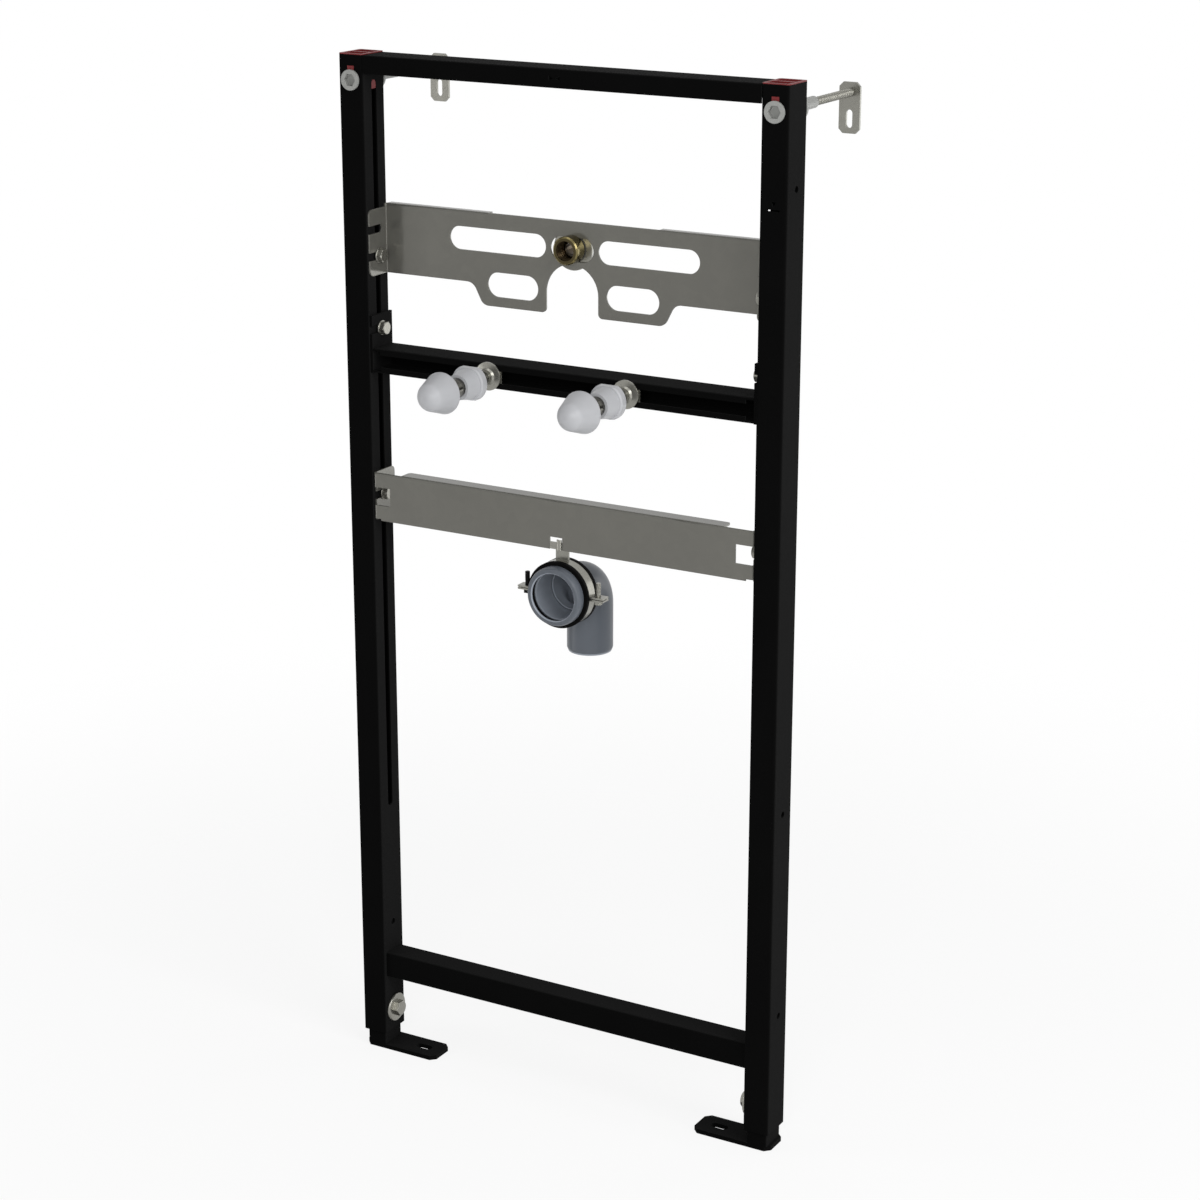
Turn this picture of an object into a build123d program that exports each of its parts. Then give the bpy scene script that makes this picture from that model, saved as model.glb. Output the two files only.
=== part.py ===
from build123d import *
import os

# Urinal installation frame, in millimetres: X to the right, Y to the wall, Z up.
# The pieces are drawn about the frame's middle plane and written out with the origin
# on the left foot's sole, under the middle of the left upright.

# Uprights
FRAME_WIDTH = 520.0
UPRIGHT_WIDTH = 30.0
UPRIGHT_DEPTH = 40.0
UPRIGHT_LENGTH = 1112.0
TUBE_WALL = 2.0
TUBE_CORNER = 3.0
RAIL_SLOT_WIDTH = 8.5
RAIL_SLOT_FROM_TOP = 26.5
RAIL_SLOT_FROM_END = 275.5
SIDE_HOLE_RADIUS = 3.5
SIDE_HOLES_FROM_TOP = (101.6, 749.9, 978.9)
METRE_SLIT_FROM_TOP = 120.6
METRE_SLIT_LENGTH = 14.0
METRE_SLIT_HEIGHT = 1.6
MARK_SIDE = 5.0

# Legs and foot plates
LEG_SHOWN = 16.0
LEG_PLAY = 1.2
LEG_WALL = 2.0
LEG_LENGTH = 267.0
FOOT_THICKNESS = 5.0
FOOT_LENGTH = 93.0
FOOT_DEPTH = 36.0
FOOT_CHAMFER = 6.0
FOOT_SLOT_LENGTH = 20.0
FOOT_SLOT_WIDTH = 9.0
FOOT_SLOT_FROM_TIP = 24.5

# Leg clamp bolts
CLAMP_ABOVE_UPRIGHT_END = 26.0
CLAMP_DISC_RADIUS = 16.5
CLAMP_DISC_THICKNESS = 3.2
CLAMP_HEX_ACROSS = 16.0
CLAMP_HEX_HEIGHT = 6.5
CLAMP_SHANK_RADIUS = 4.0

# End caps of the uprights
CAP_RIM = 1.0
CAP_PLUG_LENGTH = 36.0
CAP_WALL = 1.8
CAP_POCKET_DEPTH = 4.0
CAP_POCKET_BORDER = 3.5
CAP_RIB = 4.0
CAP_PLAY = 0.3
CAP_LUG_WIDTH = 8.0
CAP_LUG_HEIGHT = 7.0
CAP_LUG_FROM_TOP = 15.0

# Cross bars
TOP_BAR_HEIGHT = 19.0
BOTTOM_BAR_SIZE = 30.0
BOTTOM_BAR_ABOVE_END = 69.3
CENTRE_MARK_GAP = 3.0

# Wall brackets
ROD_AXIS_FROM_TOP = 26.0
ROD_RADIUS = 4.0
ROD_PLAY = 0.3
SLEEVE_FLANGE_RADIUS = 10.75
SLEEVE_FLANGE_THICKNESS = 2.5
SLEEVE_BODY_RADIUS = 7.0
SLEEVE_STUB_RADIUS = 6.0
SLEEVE_STUB_LENGTH = 44.0
SLEEVE_HEX_ACROSS = 12.0
SLEEVE_HEX_DEPTH = 6.0
SLEEVE_FLOOR = 8.0
COLLAR_RADIUS = 15.0
COLLAR_THICKNESS = 3.0
WALL_GAP = 131.0
WALL_PLATE_THICKNESS = 3.0
WALL_PLATE_WIDTH = 23.0
WALL_PLATE_LENGTH = 51.5
WALL_PLATE_ABOVE_ROD = 10.5
WALL_PLATE_CHAMFER = 4.5
WALL_SLOT_WIDTH = 7.0
WALL_SLOT_LENGTH = 18.5
WALL_SLOT_BELOW_ROD = 26.3

# Bolts that hold the crossing pieces in the uprights' slots
BOLT_RADIUS = 4.0
BOLT_PLAY = 0.3
BOLT_HEX_ACROSS = 13.0
BOLT_HEX_HEIGHT = 5.5
BOLT_WASHER_RADIUS = 8.0
BOLT_WASHER_THICKNESS = 1.6
SLOT_NUT_THICKNESS = 5.0
SLOT_NUT_WIDTH = 14.0
SLOT_NUT_LENGTH = 20.0

# Water plate
SHEET = 2.0
SHEET_BEND = 1.0
WATER_PLATE_FROM_TOP = 157.3
WATER_PLATE_HEIGHT = 74.3
WATER_PLATE_BACK = 16.5
WATER_FLANGE_FRONT = -17.0
WATER_FLANGE_BELOW_TOP = 3.7
WATER_FLANGE_CORNER = 6.0
WATER_SLOT_PITCH = 28.5
WATER_BOLT_BELOW_TOP = 53.7
FLANGE_SLOT_END = 2.4
LIP_DEPTH = 9.5
WATER_LIP_INNER = 101.0
LOBE_DROP = 23.4
LOBE_OUTER_TOP = 119.8
LOBE_OUTER_BOTTOM = 107.9
LOBE_BEND = 12.6
LOBE_TIP = 10.6
LOBE_CORNER = 5.0
ARCH_RADIUS = 31.0
ARCH_BELOW_TOP = 75.7
OUTLET_BELOW_TOP = 28.5
OUTLET_BOSS_RADIUS = 21.6
LONG_SLOT_BELOW_TOP = 28.9
LONG_SLOT_X = 89.5
LONG_SLOT_LENGTH = 117.0
LONG_SLOT_WIDTH = 24.5
LOBE_SLOT_X = 71.3
LOBE_SLOT_LENGTH = 61.5
LOBE_SLOT_WIDTH = 26.0
LOBE_SLOT_BELOW_TOP = 74.4
OUTLET_SLOT_LENGTH = 51.0
OUTLET_SLOT_WIDTH = 25.0

# Brass water outlet
OUTLET_BODY_RADIUS = 14.8
OUTLET_BODY_LENGTH = 14.4
OUTLET_BODY_EDGE = 1.4
OUTLET_SHANK_RADIUS = 10.9
OUTLET_TAIL_RADIUS = 10.4
OUTLET_TAIL_LENGTH = 15.0
OUTLET_THREAD_RADIUS = 10.2
OUTLET_THREAD_DEPTH = 14.0
OUTLET_BORE_RADIUS = 7.5
LOCKNUT_ACROSS = 30.0
LOCKNUT_LENGTH = 7.0
OUTLET_WASHER_RADIUS = 22.5
OUTLET_WASHER_THICKNESS = 2.5

# Fixing bar: a lipped channel, open to the front
BAR_FROM_TOP = 308.3
BAR_HEIGHT = 26.5
BAR_FRONT = -18.0
BAR_BACK = 20.0
BAR_WALL = 2.5
BAR_LIP = 6.6
BAR_LIP_CUTBACK = 9.5
BRACKET_THICKNESS = 3.0
BRACKET_HEIGHT = 61.5
BAR_BOLT_ABOVE_BOTTOM = 46.0

# Urinal studs
STUD_X = 82.0
STUD_RADIUS = 6.0
STUD_PLAY = 0.3
CHANNEL_NUT_THICKNESS = 6.0
CHANNEL_NUT_SIZE = 20.0
CHANNEL_NUT_NECK = 32.6
FLANGE_NUT_RADIUS = 15.0
FLANGE_NUT_RIM = 1.6
FLANGE_NUT_DISC = 3.0
FLANGE_NUT_ROOT = 9.0
FLANGE_NUT_HUB = 7.3
FLANGE_NUT_FLARE = 2.0
FLANGE_NUT_LENGTH = 10.0
BUSH_BACK_TO_BAR = 33.0
BUSH_THICKNESS = 9.0
BUSH_RADIUS = 19.2
BUSH_FLATS = 33.3
BUSH_EDGE = 1.5
BUSH_HUB_ROOT = 16.5
BUSH_HUB_TIP = 13.2
BUSH_HUB_LENGTH = 18.0
SPACER_RADIUS = 10.3
SPACER_LENGTH = 28.7
STUD_CAP_RADIUS = 21.8
STUD_CAP_LENGTH = 32.5
STUD_CAP_NOSE_RADIUS = 14.5
STUD_CAP_NOSE_HEIGHT = 9.5
STUD_CAP_WALL = 2.2
STUD_END_IN_CAP = 14.0

# Drain plate
DRAIN_PLATE_FROM_TOP = 444.8
DRAIN_PLATE_HEIGHT = 53.2
DRAIN_PLATE_FRONT = -18.0
DRAIN_FLANGE_BACK = 20.0
DRAIN_FLANGE_CORNER = 6.0
DRAIN_BOLT_ABOVE_BOTTOM = 27.0
DRAIN_WINDOW_HEIGHT = 20.2
DRAIN_WINDOW_WIDTH = 21.0
DRAIN_LIP_DEPTH = 18.0
DRAIN_LIP_HALF_LENGTH = 195.0
DRAIN_LIP_CORNER = 4.0
DRAIN_NOTCH_X = -1.2
DRAIN_NOTCH_WIDTH = 15.2
DRAIN_NOTCH_HEIGHT = 13.4
DRAIN_RELIEF_WIDTH = 9.0
DRAIN_RELIEF_HEIGHT = 2.0

# Drain elbow, of pipe size 50
PIPE_RADIUS = 25.0
PIPE_WALL = 1.8
SOCKET_BELOW_PLATE = 50.0
SOCKET_FRONT = -27.5
SOCKET_MOUTH_EDGE = 1.0
SOCKET_FACE_RADIUS = 29.5
SOCKET_NOSE_LENGTH = 7.0
SOCKET_RIM_RADIUS = 32.2
SOCKET_RIM_LENGTH = 10.0
SOCKET_BODY_RADIUS = 31.5
SOCKET_LENGTH = 37.5
SOCKET_TAPER = 6.0
SOCKET_PLAY = 0.6
SPIGOT_Y = 51.5
BEND_RADIUS = 27.0
SPIGOT_DROP = 79.5
SPIGOT_CHAMFER_LENGTH = 4.0
SPIGOT_CHAMFER_DEPTH = 1.5
SEAL_RADIUS = 29.6
SEAL_GROOVE_START = 2.0
SEAL_LENGTH = 6.6
SEAL_TAPER = 1.4
SEAL_SQUEEZE = 0.4

# Pipe clamp
CLAMP_PLAY = 0.3
LINER_THICKNESS = 1.7
LINER_RIB_RADIUS = 36.2
LINER_RIB = 4.5
LINER_WIDTH = 22.0
LINER_BEHIND_RIM = 0.5
BAND_THICKNESS = 2.0
BAND_WIDTH = 12.0
EAR_REACH = 52.0
EAR_GAP = 0.8
EAR_THICKNESS = 1.8
CLAMP_SCREW_X = 43.3
CLAMP_SCREW_RADIUS = 2.5
CLAMP_SCREW_TOP = 17.0
CLAMP_SCREW_HEX = 8.0
CLAMP_SCREW_HEAD = 4.0
STRAP_WIDTH = 15.6
STRAP_Y = -6.0
STRAP_STEP = 2.5
STRAP_HOOK_HEIGHT = 7.5
STRAP_ROLL_RADIUS = 2.9
STRAP_ROLL_HEIGHT = 11.0

# Places that follow from the sizes above
UPRIGHT_X = (FRAME_WIDTH - UPRIGHT_WIDTH) / 2
INNER_X = FRAME_WIDTH / 2 - UPRIGHT_WIDTH
FRONT_Y = -UPRIGHT_DEPTH / 2
BACK_Y = UPRIGHT_DEPTH / 2
UPRIGHT_END = FOOT_THICKNESS + LEG_SHOWN
TUBE_TOP = UPRIGHT_END + UPRIGHT_LENGTH
ROD_Z = TUBE_TOP - ROD_AXIS_FROM_TOP
WATER_PLATE_TOP = TUBE_TOP - WATER_PLATE_FROM_TOP
WATER_PLATE_BOTTOM = WATER_PLATE_TOP - WATER_PLATE_HEIGHT
WATER_PLATE_FRONT = WATER_PLATE_BACK - SHEET
WATER_BOLT_Z = WATER_PLATE_TOP - WATER_BOLT_BELOW_TOP
OUTLET_Z = WATER_PLATE_TOP - OUTLET_BELOW_TOP
LOCKNUT_START = WATER_PLATE_BACK + OUTLET_WASHER_THICKNESS
BAR_BOTTOM = TUBE_TOP - BAR_FROM_TOP - BAR_HEIGHT
STUD_Z = BAR_BOTTOM + BAR_HEIGHT / 2
DRAIN_PLATE_TOP = TUBE_TOP - DRAIN_PLATE_FROM_TOP
DRAIN_PLATE_BOTTOM = DRAIN_PLATE_TOP - DRAIN_PLATE_HEIGHT
DRAIN_BOLT_Z = DRAIN_PLATE_BOTTOM + DRAIN_BOLT_ABOVE_BOTTOM
SOCKET_Z = DRAIN_PLATE_BOTTOM - SOCKET_BELOW_PLATE
SPIGOT_END_Z = SOCKET_Z - SPIGOT_DROP
LEG_DEPTH = UPRIGHT_DEPTH - 2 * (TUBE_WALL + LEG_PLAY)
CUT = 1.0


def block(x0, x1, y0, y1, z0, z1):
    middle = Pos((x0 + x1) / 2, (y0 + y1) / 2, (z0 + z1) / 2)
    return middle * Box(x1 - x0, y1 - y0, z1 - z0)


def prism_x(face, x0, x1):
    return extrude(Plane.YZ.offset(x0) * face, x1 - x0)


def prism_y(face, y0, y1):
    return extrude(Plane.XZ.offset(-y1) * face, y1 - y0)


def prism_z(face, z0, z1):
    return extrude(Pos(0, 0, z0) * face, z1 - z0)


def rod_x(radius, x0, x1, y, z):
    return prism_x(Pos(y, z) * Circle(radius), x0, x1)


def rod_y(radius, y0, y1, x, z):
    return prism_y(Pos(x, z) * Circle(radius), y0, y1)


def rod_z(radius, z0, z1, x, y):
    return prism_z(Pos(x, y) * Circle(radius), z0, z1)


def hex_face(across):
    return RegularPolygon(across / 2, 6, major_radius=False)


def turned_y(points, x, z):
    # A turned piece: radius and Y pairs, spun about an axis along Y.
    profile = make_face(Polyline(*points, close=True))
    return Pos(x, 0, z) * revolve(profile, Axis.Y)


def tube_face(width, depth, wall, corner):
    inside = RectangleRounded(width - 2 * wall, depth - 2 * wall, max(corner - wall, 0.5))
    return RectangleRounded(width, depth, corner) - inside


def on_side(side, shape):
    # Pieces are drawn for the right upright; the left ones are their mirror images.
    return shape if side > 0 else mirror(shape, about=Plane.YZ)


# Uprights: slotted tube, drilled for the bolts, the wall rod and the cap's lug
def upright():
    shell = Pos(UPRIGHT_X, 0) * tube_face(UPRIGHT_WIDTH, UPRIGHT_DEPTH, TUBE_WALL, TUBE_CORNER)
    tube = prism_z(shell, UPRIGHT_END, TUBE_TOP)
    slot_low = UPRIGHT_END + RAIL_SLOT_FROM_END
    slot_high = TUBE_TOP - RAIL_SLOT_FROM_TOP
    slot = Rot(0, 0, 90) * SlotOverall(slot_high - slot_low, RAIL_SLOT_WIDTH)
    slot = Pos(0, (slot_low + slot_high) / 2) * slot
    inner_wall = (INNER_X - CUT, INNER_X + TUBE_WALL + CUT)
    outer_wall = (FRAME_WIDTH / 2 - TUBE_WALL - CUT, FRAME_WIDTH / 2 + CUT)
    tube -= prism_x(slot, *inner_wall)
    for from_top in SIDE_HOLES_FROM_TOP:
        tube -= rod_x(SIDE_HOLE_RADIUS, *outer_wall, 0, TUBE_TOP - from_top)
    tube -= rod_x(SIDE_HOLE_RADIUS, *inner_wall, 0, TUBE_TOP - SIDE_HOLES_FROM_TOP[-1])
    tube -= rod_x(CLAMP_SHANK_RADIUS + BOLT_PLAY, *inner_wall, 0, clamp_z())
    tube -= rod_y(SLEEVE_BODY_RADIUS + ROD_PLAY, FRONT_Y - CUT, BACK_Y + CUT, UPRIGHT_X, ROD_Z)
    window = Rectangle(CAP_LUG_WIDTH + 2 * CAP_PLAY, CAP_LUG_HEIGHT + 2 * CAP_PLAY)
    tube -= prism_y(Pos(UPRIGHT_X, lug_z()) * window, FRONT_Y - CUT, FRONT_Y + TUBE_WALL + CUT)
    return tube


def clamp_z():
    return UPRIGHT_END + CLAMP_ABOVE_UPRIGHT_END


def lug_z():
    return TUBE_TOP - CAP_LUG_FROM_TOP


# Metre mark: a slit under a triangle, cut in the right upright's front
def metre_mark():
    z = TUBE_TOP - METRE_SLIT_FROM_TOP
    slit = Pos(UPRIGHT_X, z) * Rectangle(METRE_SLIT_LENGTH, METRE_SLIT_HEIGHT)
    tip = z + 2 * METRE_SLIT_HEIGHT
    triangle = make_face(Polyline(
        (UPRIGHT_X, tip),
        (UPRIGHT_X + MARK_SIDE / 2, tip + MARK_SIDE),
        (UPRIGHT_X - MARK_SIDE / 2, tip + MARK_SIDE),
        close=True,
    ))
    reach = (FRONT_Y - CUT, FRONT_Y + TUBE_WALL + CUT)
    return prism_y(slit, *reach) + prism_y(triangle, *reach)


# Caps: a plug in the tube's end with a rim, two pockets on top and two snap lugs
def cap():
    top = TUBE_TOP + CAP_RIM
    inner_width = UPRIGHT_WIDTH - 2 * TUBE_WALL
    inner_depth = UPRIGHT_DEPTH - 2 * TUBE_WALL
    plug_width = inner_width - 2 * CAP_PLAY
    plug_depth = inner_depth - 2 * CAP_PLAY
    centre = Pos(UPRIGHT_X, 0)
    plug_end = TUBE_TOP - CAP_PLUG_LENGTH
    rim = RectangleRounded(UPRIGHT_WIDTH, UPRIGHT_DEPTH, TUBE_CORNER)
    body = prism_z(centre * rim, TUBE_TOP, top)
    body += prism_z(centre * Rectangle(plug_width, plug_depth), plug_end, TUBE_TOP)
    hollow = Rectangle(plug_width - 2 * CAP_WALL, plug_depth - 2 * CAP_WALL)
    body -= prism_z(centre * hollow, plug_end, top - CAP_POCKET_DEPTH - CAP_WALL)
    pocket_depth = (UPRIGHT_DEPTH - 2 * CAP_POCKET_BORDER - CAP_RIB) / 2
    pocket = Rectangle(UPRIGHT_WIDTH - 2 * CAP_POCKET_BORDER, pocket_depth)
    for way in (-1, 1):
        place = Pos(UPRIGHT_X, way * (pocket_depth + CAP_RIB) / 2)
        body -= prism_z(place * pocket, top - CAP_POCKET_DEPTH, top)
    body -= rod_y(SLEEVE_BODY_RADIUS + 2 * ROD_PLAY, FRONT_Y, BACK_Y, UPRIGHT_X, ROD_Z)
    front_lug = Pos(UPRIGHT_X, lug_z()) * Rectangle(CAP_LUG_WIDTH, CAP_LUG_HEIGHT)
    body += prism_y(front_lug, FRONT_Y, FRONT_Y + TUBE_WALL + CAP_PLAY + CAP_WALL)
    slot_top = TUBE_TOP - RAIL_SLOT_FROM_TOP
    lug_width = RAIL_SLOT_WIDTH - 2 * CAP_PLAY
    lug_top = slot_top - CAP_PLAY - lug_width / 2
    lug_face = Pos(0, (plug_end + lug_top) / 2) * Rectangle(lug_width, lug_top - plug_end)
    lug_face += Pos(0, lug_top) * Circle(lug_width / 2)
    body += prism_x(lug_face, INNER_X + CAP_PLAY, INNER_X + TUBE_WALL + CAP_PLAY + CAP_WALL)
    return body


# Legs slide in the uprights and stand on the foot plates
def leg():
    width = UPRIGHT_WIDTH - 2 * (TUBE_WALL + LEG_PLAY)
    shell = Pos(UPRIGHT_X, 0) * tube_face(width, LEG_DEPTH, LEG_WALL, TUBE_CORNER)
    return prism_z(shell, FOOT_THICKNESS, FOOT_THICKNESS + LEG_LENGTH)


# Foot plates: the legs stand at their front edges, a slot for the floor bolt inwards
def foot_plate():
    outer = FRAME_WIDTH / 2
    middle = (FOOT_DEPTH - LEG_DEPTH) / 2
    outline = chamfer(Rectangle(FOOT_LENGTH, FOOT_DEPTH).vertices(), FOOT_CHAMFER)
    plate = prism_z(Pos(outer - FOOT_LENGTH / 2, middle) * outline, 0, FOOT_THICKNESS)
    slot = SlotOverall(FOOT_SLOT_LENGTH, FOOT_SLOT_WIDTH)
    slot_x = outer - FOOT_LENGTH + FOOT_SLOT_FROM_TIP
    return plate - prism_z(Pos(slot_x, middle) * slot, -CUT, FOOT_THICKNESS + CUT)


def clamp_bolt():
    face = INNER_X - CLAMP_DISC_THICKNESS
    leg_face = INNER_X + TUBE_WALL + LEG_PLAY
    bolt = rod_x(CLAMP_DISC_RADIUS, face, INNER_X, 0, clamp_z())
    head = Pos(0, clamp_z()) * hex_face(CLAMP_HEX_ACROSS)
    bolt += prism_x(head, face - CLAMP_HEX_HEIGHT, face)
    return bolt + rod_x(CLAMP_SHANK_RADIUS, INNER_X, leg_face - BOLT_PLAY, 0, clamp_z())


# Top bar: folded sheet, open below, with two marks that point at its middle
def top_bar():
    low = TUBE_TOP - TOP_BAR_HEIGHT
    outer = RectangleRounded(UPRIGHT_DEPTH, 2 * TOP_BAR_HEIGHT, TUBE_CORNER)
    inner_depth = UPRIGHT_DEPTH - 2 * TUBE_WALL
    inner_corner = max(TUBE_CORNER - TUBE_WALL, 0.5)
    inner = RectangleRounded(inner_depth, 2 * (TOP_BAR_HEIGHT - TUBE_WALL), inner_corner)
    profile = Pos(0, low) * (outer - inner)
    bar = prism_x(profile, -INNER_X, INNER_X)
    bar -= block(-FRAME_WIDTH, FRAME_WIDTH, -UPRIGHT_DEPTH, UPRIGHT_DEPTH, 0, low)
    middle = low + TOP_BAR_HEIGHT / 2
    for way in (-1, 1):
        triangle = make_face(Polyline(
            (way * CENTRE_MARK_GAP / 2, middle),
            (way * (CENTRE_MARK_GAP / 2 + MARK_SIDE), middle + MARK_SIDE / 2),
            (way * (CENTRE_MARK_GAP / 2 + MARK_SIDE), middle - MARK_SIDE / 2),
            close=True,
        ))
        bar -= prism_y(triangle, FRONT_Y - CUT, FRONT_Y + TUBE_WALL + CUT)
    return bar


def bottom_bar():
    profile = tube_face(BOTTOM_BAR_SIZE, BOTTOM_BAR_SIZE, TUBE_WALL, TUBE_CORNER)
    axis_z = UPRIGHT_END + BOTTOM_BAR_ABOVE_END + BOTTOM_BAR_SIZE / 2
    return prism_x(Pos(0, axis_z) * profile, -INNER_X, INNER_X)


# Wall brackets: a sleeve through the upright, its collar, the rod and the wall plate
def rod_sleeve():
    front = FRONT_Y - SLEEVE_FLANGE_THICKNESS
    bore_start = front + SLEEVE_HEX_DEPTH + SLEEVE_FLOOR
    end = BACK_Y + SLEEVE_STUB_LENGTH
    sleeve = turned_y([
        (0, front),
        (SLEEVE_FLANGE_RADIUS, front),
        (SLEEVE_FLANGE_RADIUS, FRONT_Y),
        (SLEEVE_BODY_RADIUS, FRONT_Y),
        (SLEEVE_BODY_RADIUS, BACK_Y),
        (SLEEVE_STUB_RADIUS, BACK_Y),
        (SLEEVE_STUB_RADIUS, end),
        (ROD_RADIUS + ROD_PLAY, end),
        (ROD_RADIUS + ROD_PLAY, bore_start),
        (0, bore_start),
    ], UPRIGHT_X, ROD_Z)
    socket = Pos(UPRIGHT_X, ROD_Z) * hex_face(SLEEVE_HEX_ACROSS)
    return sleeve - prism_y(socket, front, front + SLEEVE_HEX_DEPTH)


def rod_collar():
    ring = Circle(COLLAR_RADIUS) - Circle(SLEEVE_STUB_RADIUS + ROD_PLAY)
    return prism_y(Pos(UPRIGHT_X, ROD_Z) * ring, BACK_Y, BACK_Y + COLLAR_THICKNESS)


def wall_rod():
    start = FRONT_Y - SLEEVE_FLANGE_THICKNESS + SLEEVE_HEX_DEPTH + SLEEVE_FLOOR + ROD_PLAY
    return rod_y(ROD_RADIUS, start, wall_plate_front(), UPRIGHT_X, ROD_Z)


def wall_plate_front():
    return BACK_Y + WALL_GAP - WALL_PLATE_THICKNESS


def wall_plate():
    top = ROD_Z + WALL_PLATE_ABOVE_ROD
    outline = chamfer(Rectangle(WALL_PLATE_WIDTH, WALL_PLATE_LENGTH).vertices(), WALL_PLATE_CHAMFER)
    slot = Rot(0, 0, 90) * SlotOverall(WALL_SLOT_LENGTH, WALL_SLOT_WIDTH)
    face = Pos(UPRIGHT_X, top - WALL_PLATE_LENGTH / 2) * outline
    face -= Pos(UPRIGHT_X, ROD_Z - WALL_SLOT_BELOW_ROD) * slot
    return prism_y(face, wall_plate_front(), wall_plate_front() + WALL_PLATE_THICKNESS)


# Bolt, washer and slot nut as one, holding a piece of the given thickness to the upright
def rail_bolt(z, held):
    under_head = INNER_X - held
    washer_face = under_head - BOLT_WASHER_THICKNESS
    nut_face = INNER_X + TUBE_WALL
    bolt = rod_x(BOLT_WASHER_RADIUS, washer_face, under_head, 0, z)
    bolt += prism_x(Pos(0, z) * hex_face(BOLT_HEX_ACROSS), washer_face - BOLT_HEX_HEIGHT, washer_face)
    bolt += rod_x(BOLT_RADIUS, under_head, nut_face, 0, z)
    nut = Pos(0, z) * Rectangle(SLOT_NUT_WIDTH, SLOT_NUT_LENGTH)
    return bolt + prism_x(nut, nut_face, nut_face + SLOT_NUT_THICKNESS)


def bolt_pair(z, held):
    right = rail_bolt(z, held)
    return [right, on_side(-1, right)]


# Plan of a sheet folded into a wide U between the uprights
def folded_plan(open_y, web_y):
    span = abs(web_y - open_y)
    way = 1 if web_y > open_y else -1
    reach = span + 2 * SHEET_BEND + SHEET
    outer = RectangleRounded(2 * INNER_X, 2 * reach, SHEET_BEND + SHEET)
    inner = RectangleRounded(2 * (INNER_X - SHEET), 2 * (reach - SHEET), SHEET_BEND)
    plan = Pos(0, web_y - way * reach) * (outer - inner)
    keep = Pos(0, (open_y + web_y) / 2) * Rectangle(2 * INNER_X, span)
    return plan & keep


# A lip folded back from a sheet's top edge: what its bend takes off and fills in, in Y and Z
def lip_bend(front, top):
    outside = SHEET + SHEET_BEND
    square = Pos(front + outside / 2, top - outside / 2) * Rectangle(outside, outside)
    return square - Pos(front + outside, top - outside) * Circle(outside)


def lip_root(front, top):
    outside = SHEET + SHEET_BEND
    middle = SHEET + SHEET_BEND / 2
    square = Pos(front + middle, top - middle) * Rectangle(SHEET_BEND, SHEET_BEND)
    return square - Pos(front + outside, top - outside) * Circle(SHEET_BEND)


# A bolt slot in a flange, open to the front
def flange_slot(z):
    radius = BOLT_RADIUS + BOLT_PLAY
    tail = block(-FRAME_WIDTH, FRAME_WIDTH, -UPRIGHT_DEPTH, FLANGE_SLOT_END, z - radius, z + radius)
    return tail + rod_x(radius, -FRAME_WIDTH, FRAME_WIDTH, FLANGE_SLOT_END, z)


# Water plate: two lobes either side of an arch, slots for the supply pipes, folded ends
def water_outline():
    bottom = WATER_PLATE_BOTTOM
    lobe_bottom = bottom - LOBE_DROP
    arch_z = WATER_PLATE_TOP - ARCH_BELOW_TOP
    half = Polyline(
        (0, WATER_PLATE_TOP),
        (INNER_X, WATER_PLATE_TOP),
        (INNER_X, bottom),
        (LOBE_OUTER_TOP, bottom),
        (LOBE_OUTER_BOTTOM, lobe_bottom),
        (0, lobe_bottom),
        close=True,
    )
    face = make_face(half)
    corners = face.vertices()
    face = fillet([v for v in corners if abs(v.X - LOBE_OUTER_TOP) < 0.1], LOBE_BEND)
    face = fillet([v for v in face.vertices() if abs(v.X - LOBE_OUTER_BOTTOM) < 0.1], LOBE_TIP)
    face += mirror(face, about=Plane.YZ)
    arch = Pos(0, arch_z) * Circle(ARCH_RADIUS)
    arch += Pos(0, (lobe_bottom + arch_z) / 2) * Rectangle(2 * ARCH_RADIUS, arch_z - lobe_bottom)
    arch -= Pos(0, OUTLET_Z) * Circle(OUTLET_BOSS_RADIUS)
    face -= arch
    inner = [v for v in face.vertices() if abs(abs(v.X) - ARCH_RADIUS) < 0.1 and v.Y < lobe_bottom + 0.1]
    return fillet(inner, LOBE_CORNER)


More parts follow.
